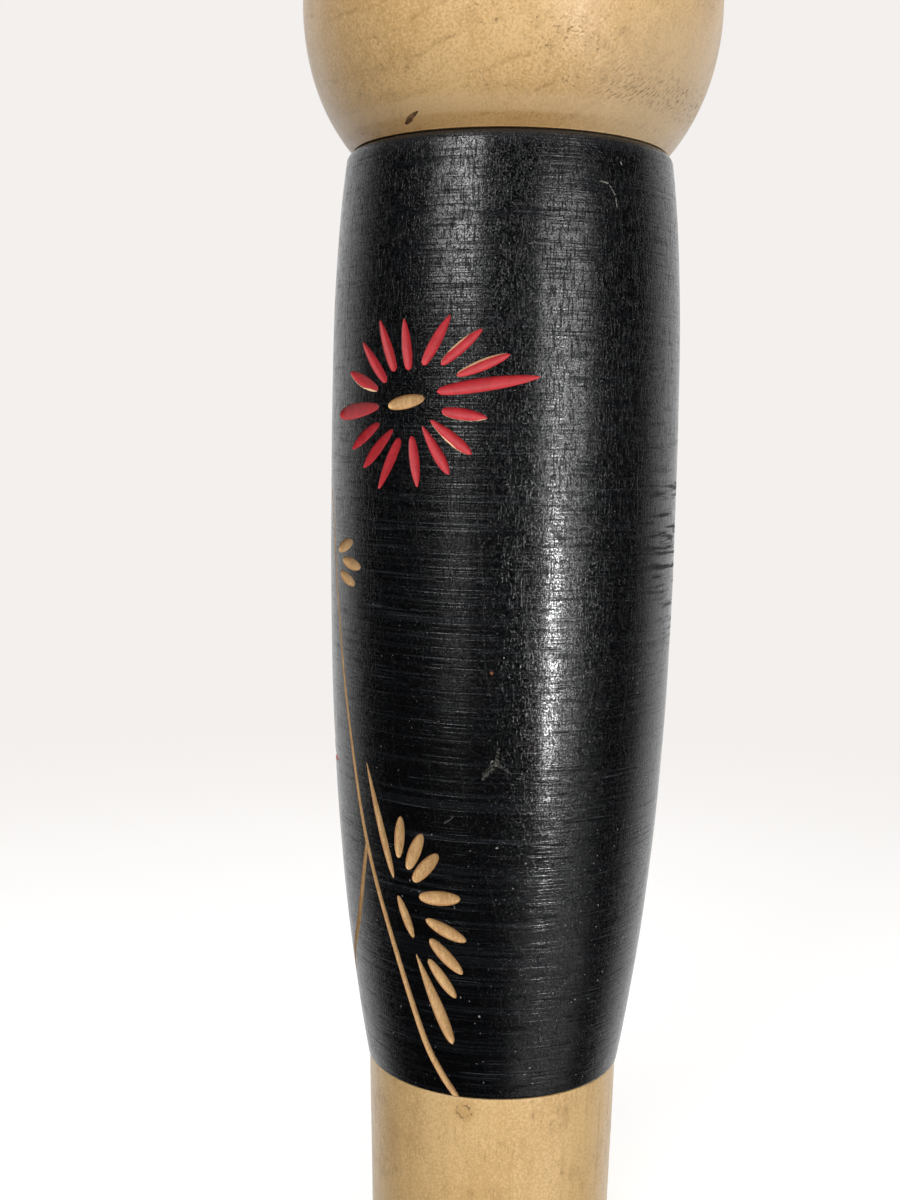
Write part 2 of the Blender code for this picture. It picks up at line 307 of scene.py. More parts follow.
def arc(centre, radius, start, end, steps):
    """Points of an arc in the profile plane.  Angles in degrees, 0 outwards and 90 up."""
    angles = np.radians(np.linspace(start, end, steps + 1))
    return np.stack([centre[0] + radius * np.cos(angles), centre[1] + radius * np.sin(angles)], 1)


def object_of(mesh, materials):
    """A new object of a mesh, in the scene and named after it."""
    for material in materials:
        mesh.materials.append(material)
    thing = bpy.data.objects.new(mesh.name, mesh)
    bpy.context.scene.collection.objects.link(thing)
    return thing


def mesh_from(bm, name):
    """A new mesh from bm, which ends with it."""
    mesh = bpy.data.meshes.new(name)
    bm.to_mesh(mesh)
    bm.free()
    return mesh


def revolve(name, radii, heights, materials, columns):
    """A closed turned solid.  radii and heights are (rows, columns) or (rows, 1) arrays.

    The first and the last row are single points on the axis.
    """
    angles = np.arange(columns) * 2 * np.pi / columns
    shape = (len(radii) - 2, columns)
    rows_r = np.broadcast_to(radii[1:-1], shape)
    rows_z = np.broadcast_to(heights[1:-1], shape)
    grid = np.stack([rows_r * np.sin(angles), -rows_r * np.cos(angles), rows_z], 2).reshape(-1, 3)
    low = len(grid)
    high = low + 1
    ends = [(0, 0, heights[0][0]), (0, 0, heights[-1][0])]
    vertices = np.concatenate([grid, ends])
    faces = []
    for row in range(shape[0] - 1):
        for column in range(columns):
            after = (column + 1) % columns
            a = row * columns
            b = a + columns
            faces.append((a + column, a + after, b + after, b + column))
    top = (shape[0] - 1) * columns
    for column in range(columns):
        after = (column + 1) % columns
        faces.append((low, after, column))
        faces.append((high, top + column, top + after))
    mesh = bpy.data.meshes.new(name)
    mesh.from_pydata([tuple(vertex) for vertex in vertices], [], faces)
    return object_of(mesh, materials)


def lathe(name, outline, foot, share, materials, columns):
    """A turned solid from its outline of (radius, height) and the height of its foot.

    share is how much of the unevenness of hand turning each point of the outline takes.
    """
    angles = np.arange(columns) * 2 * np.pi / columns
    heights = outline[:, 1:2]
    radii = outline[:, 0:1] + ripple(angles, heights) * share[:, None]
    return revolve(name, radii, heights + foot, materials, columns)


def shade(thing, angle=40):
    """Smooth shading with sharp edges at steep corners and where two finishes meet."""
    mesh = thing.data
    mesh.shade_smooth()
    mesh.set_sharp_from_angle(angle=math.radians(angle))
    bm = bmesh.new()
    bm.from_mesh(mesh)
    for edge in bm.edges:
        if len({face.material_index for face in edge.link_faces}) > 1:
            edge.smooth = False
    bm.to_mesh(mesh)
    bm.free()


def make_barrel_blank(materials):
    """The turned barrel with its two peg sockets, before carving."""
    columns = 320
    rows = 190
    foot_side = float(barrel_radius(BARREL_FOOT_EDGE))
    top_side = float(barrel_radius(BARREL_HEIGHT - BARREL_SHOULDER_EDGE))
    foot = arc((foot_side - BARREL_FOOT_EDGE, BARREL_FOOT_EDGE), BARREL_FOOT_EDGE, -90, -8, 5)
    shoulder_low = BARREL_HEIGHT - BARREL_SHOULDER_EDGE
    shoulder = arc((top_side - BARREL_SHOULDER_EDGE, shoulder_low), BARREL_SHOULDER_EDGE, 6, 90, 8)
    side_low = BARREL_FOOT_EDGE * 1.3  # just above the end of the rounded edge
    side_heights = np.linspace(side_low, shoulder_low, rows)
    side = np.stack([barrel_radius(side_heights), side_heights], 1)
    upper_end = BARREL_HEIGHT - UPPER_SOCKET
    lower_bore = [(0, LOWER_SOCKET), (SOCKET_RADIUS, LOWER_SOCKET), (SOCKET_RADIUS, 0)]
    upper_bore = [(SOCKET_RADIUS, BARREL_HEIGHT), (SOCKET_RADIUS, upper_end), (0, upper_end)]
    outline = np.concatenate([lower_bore, foot, side, shoulder, upper_bore])
    outside = outline[:, 0] > SOCKET_RADIUS * 1.5
    return lathe("barrel_carved", outline, BARREL_FOOT, outside, materials, columns)


# ---- gouge cuts


def spindle(inner, tip, width, fullest, roundness, rings=26):
    """The spine of a petal, as (azimuth, height, half width).

    fullest is how far along it swells most.  roundness is that of its two ends.
    """
    bias = math.log(0.5) / math.log(fullest)
    spine = []
    for ring in range(rings):
        share = ring / (rings - 1)
        sharpness = roundness[0] + (roundness[1] - roundness[0]) * share
        swell = max(math.sin(math.pi * share**bias), 0) ** sharpness
        azimuth = inner[0] + (tip[0] - inner[0]) * share
        height = (inner[1] + (tip[1] - inner[1]) * share) * MM
        spine.append((azimuth, height, width / 2 * swell * MM))
    return spine


def petal_spines(petals, place, random, roundness):
    """The petals round a hub, as spines on the barrel."""
    hub_azimuth, hub_height, scale, turn = place
    radius = float(barrel_radius(hub_height * MM)) / MM
    spines = []
    for inner_clock, inner_far, tip_clock, tip_far, width, fullest in petals:
        ends = []
        for clock, far in ((inner_clock, inner_far), (tip_clock, tip_far)):
            angle = math.radians(clock + turn)
            azimuth = hub_azimuth + math.degrees(math.sin(angle) * far * scale / radius)
            ends.append((azimuth, hub_height + math.cos(angle) * far * scale))
        ends_roundness = BROAD_ENDS if width > BROAD_PETAL else roundness
        varied = [value * random.uniform(0.92, 1.08) for value in ends_roundness]
        spines.append(spindle(*ends, width * math.sqrt(scale), fullest, varied))
    return spines


def stem_spine(points, pieces=12):
    """A smooth stem through its points."""
    spine = []
    for index in range(len(points) - 1):
        before = points[max(index - 1, 0)]
        start = points[index]
        end = points[index + 1]
        after = points[min(index + 2, len(points) - 1)]
        for piece in range(pieces):
            t = piece / pieces
            place = []
            for a, b, c, d in zip(before, start, end, after):
                bend = (2 * a - 5 * b + 4 * c - d) * t**2 + (3 * b - a - 3 * c + d) * t**3
                place.append(b + 0.5 * ((c - a) * t + bend))
            spine.append(place)
    spine.append(list(points[-1]))
    return [(azimuth, height * MM, width / 2 * MM) for azimuth, height, width in spine]


def painted(rim, across, along):
    """How far inside the paint a point of a cut lies, in half widths.  Below 0 it is bare wood."""
    if rim is None:
        return 1.0
    side, width, start, end = rim
    share = (along - start) / (end - start)
    reach = width * max(math.sin(math.pi * min(max(share, 0), 1)), 0) ** 0.6
    return 1 - reach - across * side - 0.02


def gouge_section(half_width, flatness):
    """Across and lift of each point of a gouge's section, from one rim down and up to the other."""
    depth = 2 * half_width * CUT_DEPTH
    acrosses = [math.sin(math.pi / 2 * step / 6) for step in range(-6, 7)]
    valley = [(across, (abs(across) ** flatness - 1) * depth) for across in acrosses]
    return [(-CUT_FLARE, CUT_LIFT)] + valley + [(CUT_FLARE, CUT_LIFT)]


def stroke_section(half_width, flatness):
    """Across and lift of each point round a low raised stroke of paint, closed inside the wood."""
    acrosses = [math.sin(math.pi / 2 * step / 3) for step in range(3, -4, -1)]
    dome = [(across, (1 - across * across) * PAINT_HEIGHT) for across in acrosses]
    return [(1.0, -PAINT_ROOT)] + dome + [(-1.0, -PAINT_ROOT)]


def tube_rings(bm, spine, skin, section_of, flatness, open_end):
    """The rings round a spine.  A ring lists its vertices, each with its place across and along."""
    last = len(spine) - 1
    rings = []
    for index, (azimuth, height, half_width) in enumerate(spine):
        share = index / last
        if index == last or (index == 0 and not open_end):
            rings.append([(bm.verts.new(on_skin(skin, azimuth, height, TIP_LIFT)), 0.0, share)])
            continue
        before = spine[max(index - 1, 0)]
        after = spine[index + 1]
        radius = float(skin[0](height))
        along = Vector((math.radians(after[0] - before[0]) * radius, after[1] - before[1])).normalized()
        ring = []
        for across, lift in section_of(half_width, flatness):
            shift = across * half_width
            side_azimuth = azimuth + math.degrees(along.y * shift / radius)
            vertex = bm.verts.new(on_skin(skin, side_azimuth, height - along.x * shift, lift))
            ring.append((vertex, across, share))
        rings.append(ring)
    return rings


def ring_faces(first, second):
    """The corners of each face between two rings.  The ring at a tip is a single corner."""
    count = max(len(first), len(second))
    for step in range(count):
        after = (step + 1) % count
        if len(first) == 1:
            yield first[0], second[step], second[after]
        elif len(second) == 1:
            yield first[step], second[0], first[after]
        else:
            yield first[step], second[step], second[after], first[after]


def add_tube(bm, spine, finish, skin=BARREL_SKIN, section_of=gouge_section, flatness=PETAL_FLATNESS,
             rim=None, tone=0.5, open_end=False):
    """Adds a closed form along a spine of (azimuth, height, half width), heights in metres.

    Its corners carry where they lie across and along it, and whether they are painted.
    """
    place_layer = bm.loops.layers.uv.get("cut_place") or bm.loops.layers.uv.new("cut_place")
    paint_layer = bm.loops.layers.uv.get("cut_paint") or bm.loops.layers.uv.new("cut_paint")
    rings = tube_rings(bm, spine, skin, section_of, flatness, open_end)
    faces = [corners for pair in zip(rings, rings[1:]) for corners in ring_faces(*pair)]
    if open_end:
        faces.append(rings[0])
    for corners in faces:
        face = bm.faces.new([corner[0] for corner in corners])
        face.material_index = finish
        for loop, (_, across, share) in zip(face.loops, corners):
            loop[place_layer].uv = (across, share)
            loop[paint_layer].uv = (painted(rim, across, share), tone)


def subtract(thing, bm, materials):
    """Cuts the cutters in bm out of a thing, for good."""
    bmesh.ops.recalc_face_normals(bm, faces=bm.faces)
    cutter = object_of(mesh_from(bm, "cutter"), materials)
    cut = thing.modifiers.new("cut", "BOOLEAN")
    cut.operation = "DIFFERENCE"
    cut.object = cutter
    graph = bpy.context.evaluated_depsgraph_get()
    carved = bpy.data.meshes.new_from_object(thing.evaluated_get(graph))
    thing.modifiers.remove(cut)
    blank = thing.data
    thing.data = carved
    bpy.data.meshes.remove(blank)
    bpy.data.objects.remove(cutter)


def carve(barrel, materials):
    """Cuts the flowers, then each stem on its own, because stems meet other cuts."""
    random = np.random.RandomState(7)
    flowers = bmesh.new()
    for index, spine in enumerate(petal_spines(BLOSSOM_PETALS, BLOSSOM_PLACE, random, RED_ENDS)):
        add_tube(flowers, spine, RED, rim=PAINT_RIMS.get(index), tone=random.uniform(0, 1))
    for spine in petal_spines(BLOSSOM_PETALS, HANGING_BLOSSOM_PLACE, random, RED_ENDS):
        add_tube(flowers, spine, RED, tone=random.uniform(0, 1))
    bare = petal_spines(SPRAY_PETALS, SPRAY_PLACE, random, BARE_ENDS)
    bare += petal_spines(BUD_PETALS, BUD_PLACE, random, BARE_ENDS)
    for azimuth, height, tip_azimuth, tip_height, width, fullest in SEED_CUTS:
        bare.append(spindle((azimuth, height), (tip_azimuth, tip_height), width, fullest, BARE_ENDS))
    for spine in bare:
        add_tube(flowers, spine, BARE, tone=random.uniform(0, 1))
    subtract(barrel, flowers, materials)
    for points, open_end in ((MAIN_STEM, True), (SIDE_STEM, False)):
        stem = bmesh.new()
        add_tube(stem, stem_spine(points), BARE, flatness=STEM_FLATNESS, open_end=open_end)
        subtract(barrel, stem, materials)


def make_barrel(materials):
    """The carved barrel, with layers that say where each point of a cut lies."""
    barrel = make_barrel_blank(materials)
    for layer in ("cut_place", "cut_paint"):
        barrel.data.uv_layers.new(name=layer)
    carve(barrel, materials)
    shade(barrel)
    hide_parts("barrel")
    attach(barrel, "doll_body")


# ---- head and base


def make_base(materials):
    """The turned base with its peg socket."""
    columns = 288
    height = BASE_HIGH.z + SEAM
    foot = arc((BASE_FOOT_RADIUS - BASE_EDGE, BASE_EDGE), BASE_EDGE, -90, 0, 6)
    rim = arc((BASE_TOP_RADIUS - BASE_RIM, height - BASE_RIM), BASE_RIM, 0, 90, 6)
    side_heights = np.linspace(BASE_EDGE, height - BASE_RIM, 50)[1:-1]
    side_radii = np.interp(side_heights, [0, height], [BASE_FOOT_RADIUS, BASE_TOP_RADIUS])
    side = np.stack([side_radii, side_heights], 1)
    floor = height - BASE_SOCKET
    bore = [(SOCKET_RADIUS, height), (SOCKET_RADIUS, floor), (0, floor)]
    inner = [(BASE_FOOT_RADIUS * share, 0) for share in (0.3, 0.6, 0.9)]
    outline = np.concatenate([[(0, 0)], inner, foot, side, rim, bore])
    share = np.where(outline[:, 0] > BASE_FOOT_RADIUS * 0.95, 0.8, 0)
    base = lathe("base_turned", outline, BASE_LOW.z, share, materials, columns)
    shade(base)
    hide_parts("base")
    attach(base, "doll_body")


def make_head(materials):
    """The turned head with its peg socket and dents.  Its skin evens out towards the socket and crown."""
    columns = 320
    edge_side = float(head_radius(HEAD_EDGE))
    edge = arc((edge_side - HEAD_EDGE, HEAD_EDGE), HEAD_EDGE, -90, -38, 6)
    swing = np.linspace(0, math.pi, 160)[1:-1]
    side_heights = HEAD_EDGE + (HEAD_HEIGHT - HEAD_EDGE) * (1 - np.cos(swing)) / 2
    side = np.stack([head_radius(side_heights), side_heights], 1)
    bore = [(0, HEAD_SOCKET), (SOCKET_RADIUS, HEAD_SOCKET), (SOCKET_RADIUS, 0)]
    outline = np.concatenate([bore, edge, side, [(0, HEAD_HEIGHT)]])
    share = np.clip((outline[:, 0] - SOCKET_RADIUS) / (20 * MM), 0, 1)
    head = lathe("head_turned", outline, HEAD_SKIN[1], share, materials, columns)
    for azimuth, height, tip_azimuth, tip_height, width in DENTS:
        dent = bmesh.new()
        ends = ((azimuth, height), (tip_azimuth, tip_height))
        spine = spindle(*ends, width, DENT_FULLEST, BARE_ENDS, rings=14)
        add_tube(dent, spine, 1, skin=HEAD_SKIN)
        subtract(head, dent, materials)
    shade(head)
    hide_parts("head")
    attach(head, "doll_head")


def hairline(azimuths):
    """Height of the hair's lower edge above the head's underside.  Azimuths in degrees, -180 to 180."""
    places = [point[0] for point in HAIRLINE]
    levels = [point[1] for point in HAIRLINE]
    softened = [np.interp(np.abs(azimuths + shift), places, levels) for shift in (-3, -1.5, 0, 1.5, 3)]
    return sum(softened) / len(softened) * MM


def hair_row(azimuths, rise, lift):
    """Radii and heights of one row of the hair.  rise runs from 0 at its edge to 1 at the crown."""
    upper = HEAD_HEIGHT - HEAD_EQUATOR
    start = np.arcsin((hairline(azimuths) - HEAD_EQUATOR) / upper)
    angle = start + (math.pi / 2 - start) * rise
    heights = HEAD_EQUATOR + upper * np.sin(angle)
    radii = head_radius(np.minimum(heights, HEAD_HEIGHT - 1e-7))
    size = np.hypot(radii, heights - HEAD_EQUATOR)
    grown = 1 + lift / size
    return radii * grown, HEAD_EQUATOR + (heights - HEAD_EQUATOR) * grown


def make_hair(materials):
    """The painted hair: a thin raised coat with brush lines, closed inside the wood."""
    columns = 360
    azimuths = (np.arange(columns) * 360 / columns + 180) % 360 - 180
    brush = np.random.RandomState(11).normal(0, 1, columns)
    brush = (np.roll(brush, 1) + 2 * brush + np.roll(brush, -1)) / 4
    rows = [hair_row(azimuths, rise, np.full(columns, -HAIR_ROOT)) for rise in np.linspace(1, 0, 14)]
    for rise in np.concatenate([[0, 0.004], np.linspace(0.012, 1, 90)]):
        distance = (1 - rise) * HEAD_RADIUS * 1.2
        grooves = sum(math.exp(-(((distance - ring) / CROWN_RING_WIDTH) ** 2)) for ring in CROWN_RINGS)
        swell = HAIR_HEIGHT * min(1, 0.45 + rise * 45)
        fade = min(1, distance / (14 * MM))
        lift = swell + brush * HAIR_BRUSH_RELIEF * fade - grooves * CROWN_RING_DEPTH
        rows.append(hair_row(azimuths, rise, lift))
    radii, heights = np.array(rows).transpose(1, 0, 2)
    hair = revolve("hair_painted", radii, heights + HEAD_SKIN[1], materials, columns)
    shade(hair, 60)
    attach(hair, "doll_head")


def make_face(materials):
    """A calm, plain face: thin raised strokes of ink and red."""
    strokes = bmesh.new()
    for side in (-1, 1):
        for points in FACE_STROKES:
            spine = stem_spine([(side * azimuth, height, width) for azimuth, height, width in points])
            add_tube(strokes, spine, 0, skin=HEAD_SKIN, section_of=stroke_section)
    add_tube(strokes, stem_spine(NOSE), 0, skin=HEAD_SKIN, section_of=stroke_section)
    for azimuth, height, tip_azimuth, tip_height, width in LIPS:
        lip = spindle((azimuth, height), (tip_azimuth, tip_height), width, 0.5, LIP_ENDS)
        add_tube(strokes, lip, 1, skin=HEAD_SKIN, section_of=stroke_section)
    bmesh.ops.recalc_face_normals(strokes, faces=strokes.faces)
    face = object_of(mesh_from(strokes, "face_painted"), materials)
    shade(face, 60)
    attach(face, "doll_head")


# ---- materials


class Graph:
    """Short names for making the nodes of a material or of the world."""

    def __init__(self, tree):
        self.nodes = tree.nodes
        self.links = tree.links

    def add(self, kind, **settings):
        node = self.nodes.new(kind)
        for key, value in settings.items():
            setattr(node, key, value)
        return node

    def feed(self, socket, value):
        if isinstance(value, bpy.types.NodeSocket):
            self.links.new(value, socket)
        else:
            socket.default_value = value

    def math(self, operation, a, b=0.0, clamp=False):
        node = self.add("ShaderNodeMath", operation=operation, use_clamp=clamp)
        self.feed(node.inputs[0], a)
        self.feed(node.inputs[1], b)
        return node.outputs[0]

    def vector(self, operation, a, b=(0, 0, 0)):
        node = self.add("ShaderNodeVectorMath", operation=operation)
        self.feed(node.inputs[0], a)
        self.feed(node.inputs[1], b)
        single = operation in ("LENGTH", "DISTANCE", "DOT_PRODUCT")
        return node.outputs["Value" if single else "Vector"]

    def remap(self, value, low, high, new_low=0.0, new_high=1.0):
        """A smooth step from new_low at low to new_high at high."""
        node = self.add("ShaderNodeMapRange", interpolation_type="SMOOTHSTEP")
        for index, setting in enumerate((value, low, high, new_low, new_high)):
            self.feed(node.inputs[index], setting)
        return node.outputs["Result"]

    def mix(self, factor, a, b):
        """A colour between a, at factor 0, and b, at factor 1."""
        node = self.add("ShaderNodeMix", data_type="RGBA")
        self.feed(node.inputs[0], factor)
        for index, colour in ((6, a), (7, b)):
            self.feed(node.inputs[index], (*colour, 1) if isinstance(colour, tuple) else colour)
        return node.outputs[2]

    def total(self, *terms):
        """The sum of (weight, value) pairs."""
        result = 0.0
        for weight, value in terms:
            result = self.math("ADD", self.math("MULTIPLY", value, weight), result)
        return result

    def less(self, weight, value):
        """1 less a weighted value."""
        return self.total((-weight, value), (1.0, 1.0))

    def product(self, *values):
        result = values[0]
        for value in values[1:]:
            result = self.math("MULTIPLY", result, value)
        return result


class Finish(Graph):
    """A procedural material in the making."""

    def __init__(self, name):
        self.material = bpy.data.materials.new(name)
        self.material.use_nodes = True
        super().__init__(self.material.node_tree)
        self.surface = self.nodes["Principled BSDF"]
        self.place = self.add("ShaderNodeTexCoord").outputs["Object"]
        parts = self.add("ShaderNodeSeparateXYZ")
        self.feed(parts.inputs[0], self.place)
        self.height = parts.outputs["Z"]

    def set(self, **values):
        """Sets the shader's sockets.  An underscore stands for a space in a socket's name."""
        for name, value in values.items():
            socket = self.surface.inputs[name.replace("_", " ")]
            self.feed(socket, (*value, 1) if isinstance(value, tuple) else value)

    def noise(self, scale, detail=2.0, roughness=0.5, place=None, shift=0):
        """Noise between about 0.2 and 0.8.  scale is features per metre along X, Y and Z."""
        spot = self.vector("MULTIPLY", self.place if place is None else place, scale)
        spot = self.vector("ADD", spot, (shift * 3.1, shift * 5.3, shift * 7.7))
        node = self.add("ShaderNodeTexNoise")
        node.inputs["Scale"].default_value = 1
        node.inputs["Detail"].default_value = detail
        node.inputs["Roughness"].default_value = roughness
        self.feed(node.inputs["Vector"], spot)
        return node.outputs["Fac"]

    def layer(self, name):
        """The two numbers that a mesh stores in one of its named layers."""
        parts = self.add("ShaderNodeSeparateXYZ")
        self.feed(parts.inputs[0], self.add("ShaderNodeUVMap", uv_map=name).outputs["UV"])
        return parts.outputs["X"], parts.outputs["Y"]

    def bump(self, height, distance):
        """Relief in the shading, a distance high where height is 1."""
        node = self.add("ShaderNodeBump")
        node.inputs["Distance"].default_value = distance
        self.feed(node.inputs["Height"], height)
        self.links.new(node.outputs["Normal"], self.surface.inputs["Normal"])

    def level(self, foot, low, high, new_low=0.0, new_high=1.0):
        """A smooth step between two heights in millimetres above a foot."""
        return self.remap(self.height, foot + low * MM, foot + high * MM, new_low, new_high)

    def near(self, point, reach):
        """1 at a point, falling to 0 at a reach from it."""
        away = self.vector("DISTANCE", self.place, tuple(point))
        return self.remap(away, reach, 0.25 * reach)

    def near_line(self, start, end, width):
        """1 along a straight scratch, falling to 0 beside it."""
        along = end - start
        spot = self.vector("SUBTRACT", self.place, tuple(start))
        share = self.vector("DOT_PRODUCT", spot, tuple(along / along.length_squared))
        foot = self.vector("MULTIPLY", self.math("ADD", share, 0.0, clamp=True), tuple(along))
        return self.remap(self.vector("DISTANCE", spot, foot), width, 0.3 * width)

    def slanted(self, azimuth, fine, coarse):
        """A place for noise drawn out along a slant that rises with the azimuth."""
        turn = math.radians(azimuth)
        sideways = Vector((math.cos(turn), math.sin(turn), 0))
        spot = self.add("ShaderNodeCombineXYZ")
        across = (sideways - Vector((0, 0, 1))) * fine
        along = (sideways + Vector((0, 0, 1))) * coarse
        self.feed(spot.inputs[0], self.vector("DOT_PRODUCT", self.place, tuple(across)))
        self.feed(spot.inputs[1], self.vector("DOT_PRODUCT", self.place, tuple(along)))
        return spot.outputs[0]

    def rings(self, centre, stretch, spacing, wander):
        """Growth rings round a centre, as a distance counted in rings."""
        spot = self.vector("MULTIPLY", self.vector("SUBTRACT", self.place, tuple(centre)), stretch)
        distance = self.math("DIVIDE", self.vector("LENGTH", spot), spacing)
        return self.total((1, distance), (wander, self.noise((30, 30, 12), detail=3, roughness=0.55)))

    def ring_edge(self, rings, width):
        """Thin lines where a ring ends, between 0 and 1, and the share of the ring passed."""
        share = self.math("FRACT", rings)
        rise = self.remap(share, 1 - width, 1 - 0.3 * width)
        fall = self.remap(share, 1.0, 1 - 0.2 * width)
        return self.product(rise, fall), share


def dye_relief(f):
    """Masks of the barrel's relief: pores, broken grooves, lathe lines, specks and grit."""
    upper = f.level(BARREL_FOOT, 90, 190, 0.45, 1.0)
    pores = f.product(f.remap(f.noise((2300, 2300, 300), detail=1), 0.55, 0.66), upper)
    torn = f.remap(f.noise((160, 160, 420), detail=3, shift=2), 0.38, 0.62)
    grooves = f.product(f.remap(f.noise((40, 40, 1900), detail=1), 0.50, 0.62), torn)
    turned = f.remap(f.noise((9, 9, 1700), detail=1, shift=6), 0.52, 0.64)
    speck = f.noise((2900, 2900, 2900), detail=1, shift=1)
    grit = f.remap(speck, 0.54, 0.68)
    return pores, grooves, turned, speck, grit


def dye_gloss(f, pores, grooves, grit):
    """The gloss of the wax, which pores and lines break up finely and one patch has lost in streaks."""
    patches = f.noise((24, 24, 9), detail=3, roughness=0.6, shift=1)
    rings = f.rings(place_on(BARREL_SKIN, BARREL_RINGS), (1, 1, 0.22), 7 * MM, 1.6)
    edge, share = f.ring_edge(rings, 0.10)
    edge = f.product(edge, f.remap(f.noise((90, 90, 60), detail=3, shift=5), 0.42, 0.6))
    streaks = f.remap(f.noise((45, 45, 620), detail=3, roughness=0.6, shift=8), 0.50, 0.62)
    rubbed = f.product(f.near(place_on(BARREL_SKIN, RUBBED_PATCH), 34 * MM), streaks)
    rough = f.total((0.12, patches), (0.08, pores), (0.07, grit), (0.10, edge), (0.03, share), (0.10, 1.0))
    f.set(Roughness=f.math("ADD", rough, f.product(rubbed, 0.3)), IOR=1.5)
    weave = f.remap(f.noise((3600, 3600, 2800), detail=1, shift=7), 0.38, 0.62, 0.22, 1.0)
    polished = f.product(f.less(0.65, pores), f.less(0.65, grooves))
    f.set(Specular_IOR_Level=f.product(weave, polished, f.less(0.8, rubbed)))


def dye_colour(f, pores, grooves, turned, grit):
    """Near black, paler in the relief, with a grey top edge of painted sheen and with scuffs and dust low
    down.
    """
    low = f.level(BARREL_FOOT, 190, 130)
    light = f.math("MAXIMUM", f.product(pores, 0.6), f.math("MAXIMUM", grit, f.product(grooves, 0.8)))
    light = f.product(light, f.less(0.6, low))
    colour = f.mix(light, (0.0012, 0.0013, 0.0015), (0.0065, 0.0070, 0.0085))
    colour = f.mix(f.product(turned, low, 0.8), colour, (0.0068, 0.0074, 0.0090))
    # Painted sheen: the rounded shoulder under the head is made paler grey in place of the light it
    # reflects
    top = f.level(BARREL_HIGH.z, -4.5, -2)
    colour = f.mix(f.product(top, 0.7), colour, (0.016, 0.0165, 0.0185))
    lines = f.remap(f.noise((18, 18, 2100), detail=2, shift=2), 0.56, 0.74)
    broken = f.remap(f.noise((110, 110, 400), detail=3, shift=3), 0.46, 0.66)
    scuffs = f.product(lines, broken, f.level(BARREL_FOOT, 200, 120))
    colour = f.mix(scuffs, colour, (0.040, 0.043, 0.049))
    dust = f.remap(f.noise((1100, 1100, 1100), detail=1, shift=4), 0.755, 0.80)
    return f.mix(f.product(dust, f.level(BARREL_FOOT, 160, 50)), colour, (0.30, 0.29, 0.27))


def add_marks(f, colour, speck):
    """The colour with the single scuffs, the lint and the brown spot on it."""
    patchy = f.remap(speck, 0.42, 0.6)
    for azimuth, height, tip_azimuth, tip_height, width, strength in MARKS:
        start = place_on(BARREL_SKIN, (azimuth, height))
        end = place_on(BARREL_SKIN, (tip_azimuth, tip_height))
        mark = f.product(f.near_line(start, end, width * MM), patchy, strength)
        colour = f.mix(f.math("MINIMUM", mark, 1.0), colour, (0.24, 0.23, 0.20))
    spot = f.near(place_on(BARREL_SKIN, BROWN_SPOT), 0.55 * MM)
    return f.mix(spot, colour, (0.22, 0.09, 0.045))


def black_dye():
    """Black dye under wax, over the open grain and the marks of the lathe."""
    f = Finish("black_dye")
    pores, grooves, turned, speck, grit = dye_relief(f)
    relief = f.total((-0.6, pores), (-0.7, grooves), (-0.5, turned), (0.4, grit), (0.2, speck))
    f.bump(relief, 0.045 * MM)
    dye_gloss(f, pores, grooves, grit)
    colour = dye_colour(f, pores, grooves, turned, grit)
    f.set(Base_Color=add_marks(f, colour, speck))
    return f.material


def wood_colour(f, pale, deep, rings, figure_strength, dash_scale, dash_strength):
    """The colour of pale close-grained wood under old varnish, and masks of its figure and dirt."""
    edge, share = f.ring_edge(rings, 0.2)
    cloud = f.noise((32, 32, 22), detail=4, roughness=0.6)
    streaks = f.noise((420, 420, 26), detail=3, roughness=0.6)
    fibre = f.noise((2200, 2200, 200), detail=2, roughness=0.65)
    grains = f.noise((1800, 1800, 1800), detail=1, shift=4)
    tone = f.total((0.5, f.remap(cloud, 0.32, 0.68)), (0.2, f.remap(streaks, 0.3, 0.75)), (0.2, fibre))
    tone = f.total((1, tone), (2.0, f.math("SUBTRACT", grains, 0.5)))
    colour = f.mix(f.remap(tone, 0.1, 0.85), pale, deep)
    colour = f.mix(f.product(share, 0.2), colour, deep)
    broken = f.remap(f.noise((120, 120, 120), detail=4, roughness=0.75, shift=1), 0.47, 0.60)
    dotted = f.remap(f.noise((900, 900, 900), detail=2, shift=9), 0.40, 0.62)
    figure = f.product(edge, broken, f.math("ADD", f.product(dotted, 0.65), 0.35))
    colour = f.mix(f.product(figure, figure_strength), colour, (0.33, 0.155, 0.04))
    dirt = f.noise(dash_scale, detail=2, roughness=0.6, shift=2)
    patch = f.remap(f.noise((50, 50, 90), detail=3, shift=3), 0.42, 0.62)
    nearby = f.total((0.65, patch), (0.8, f.product(edge, patch)), (0.15, 1.0))
    dashes = f.product(f.remap(dirt, 0.58, 0.70), f.math("MINIMUM", nearby, 1.0))
    smudge = f.product(patch, f.remap(f.noise((300, 300, 220), detail=4, shift=8), 0.46, 0.68))
    colour = f.mix(f.product(smudge, 0.34), colour, (0.42, 0.23, 0.09))
    colour = f.mix(f.product(dashes, dash_strength), colour, (0.17, 0.075, 0.02))
    return colour, figure, dashes, fibre


def varnish(f, colour, figure, dashes, fibre):
    """Old varnish over the wood: half gloss, uneven, sunk where the grain is open."""
    peel = f.noise((750, 750, 750), detail=3, roughness=0.6, shift=5)
    lathe = f.noise((40, 40, 1500), detail=2, shift=6)
    worn = f.noise((90, 90, 70), detail=4, roughness=0.65, shift=7)
    grit = f.noise((1900, 1900, 1900), detail=1, shift=10)
    height = f.total((-0.3, figure), (-1.0, dashes), (0.4, fibre), (0.9, peel), (0.3, lathe), (0.6, grit))
    f.bump(height, 0.06 * MM)
    f.set(Base_Color=colour, IOR=1.5)
    f.set(Roughness=f.total((0.25, worn), (0.15, fibre), (0.2, dashes), (0.12, 1.0)))
    return f.material


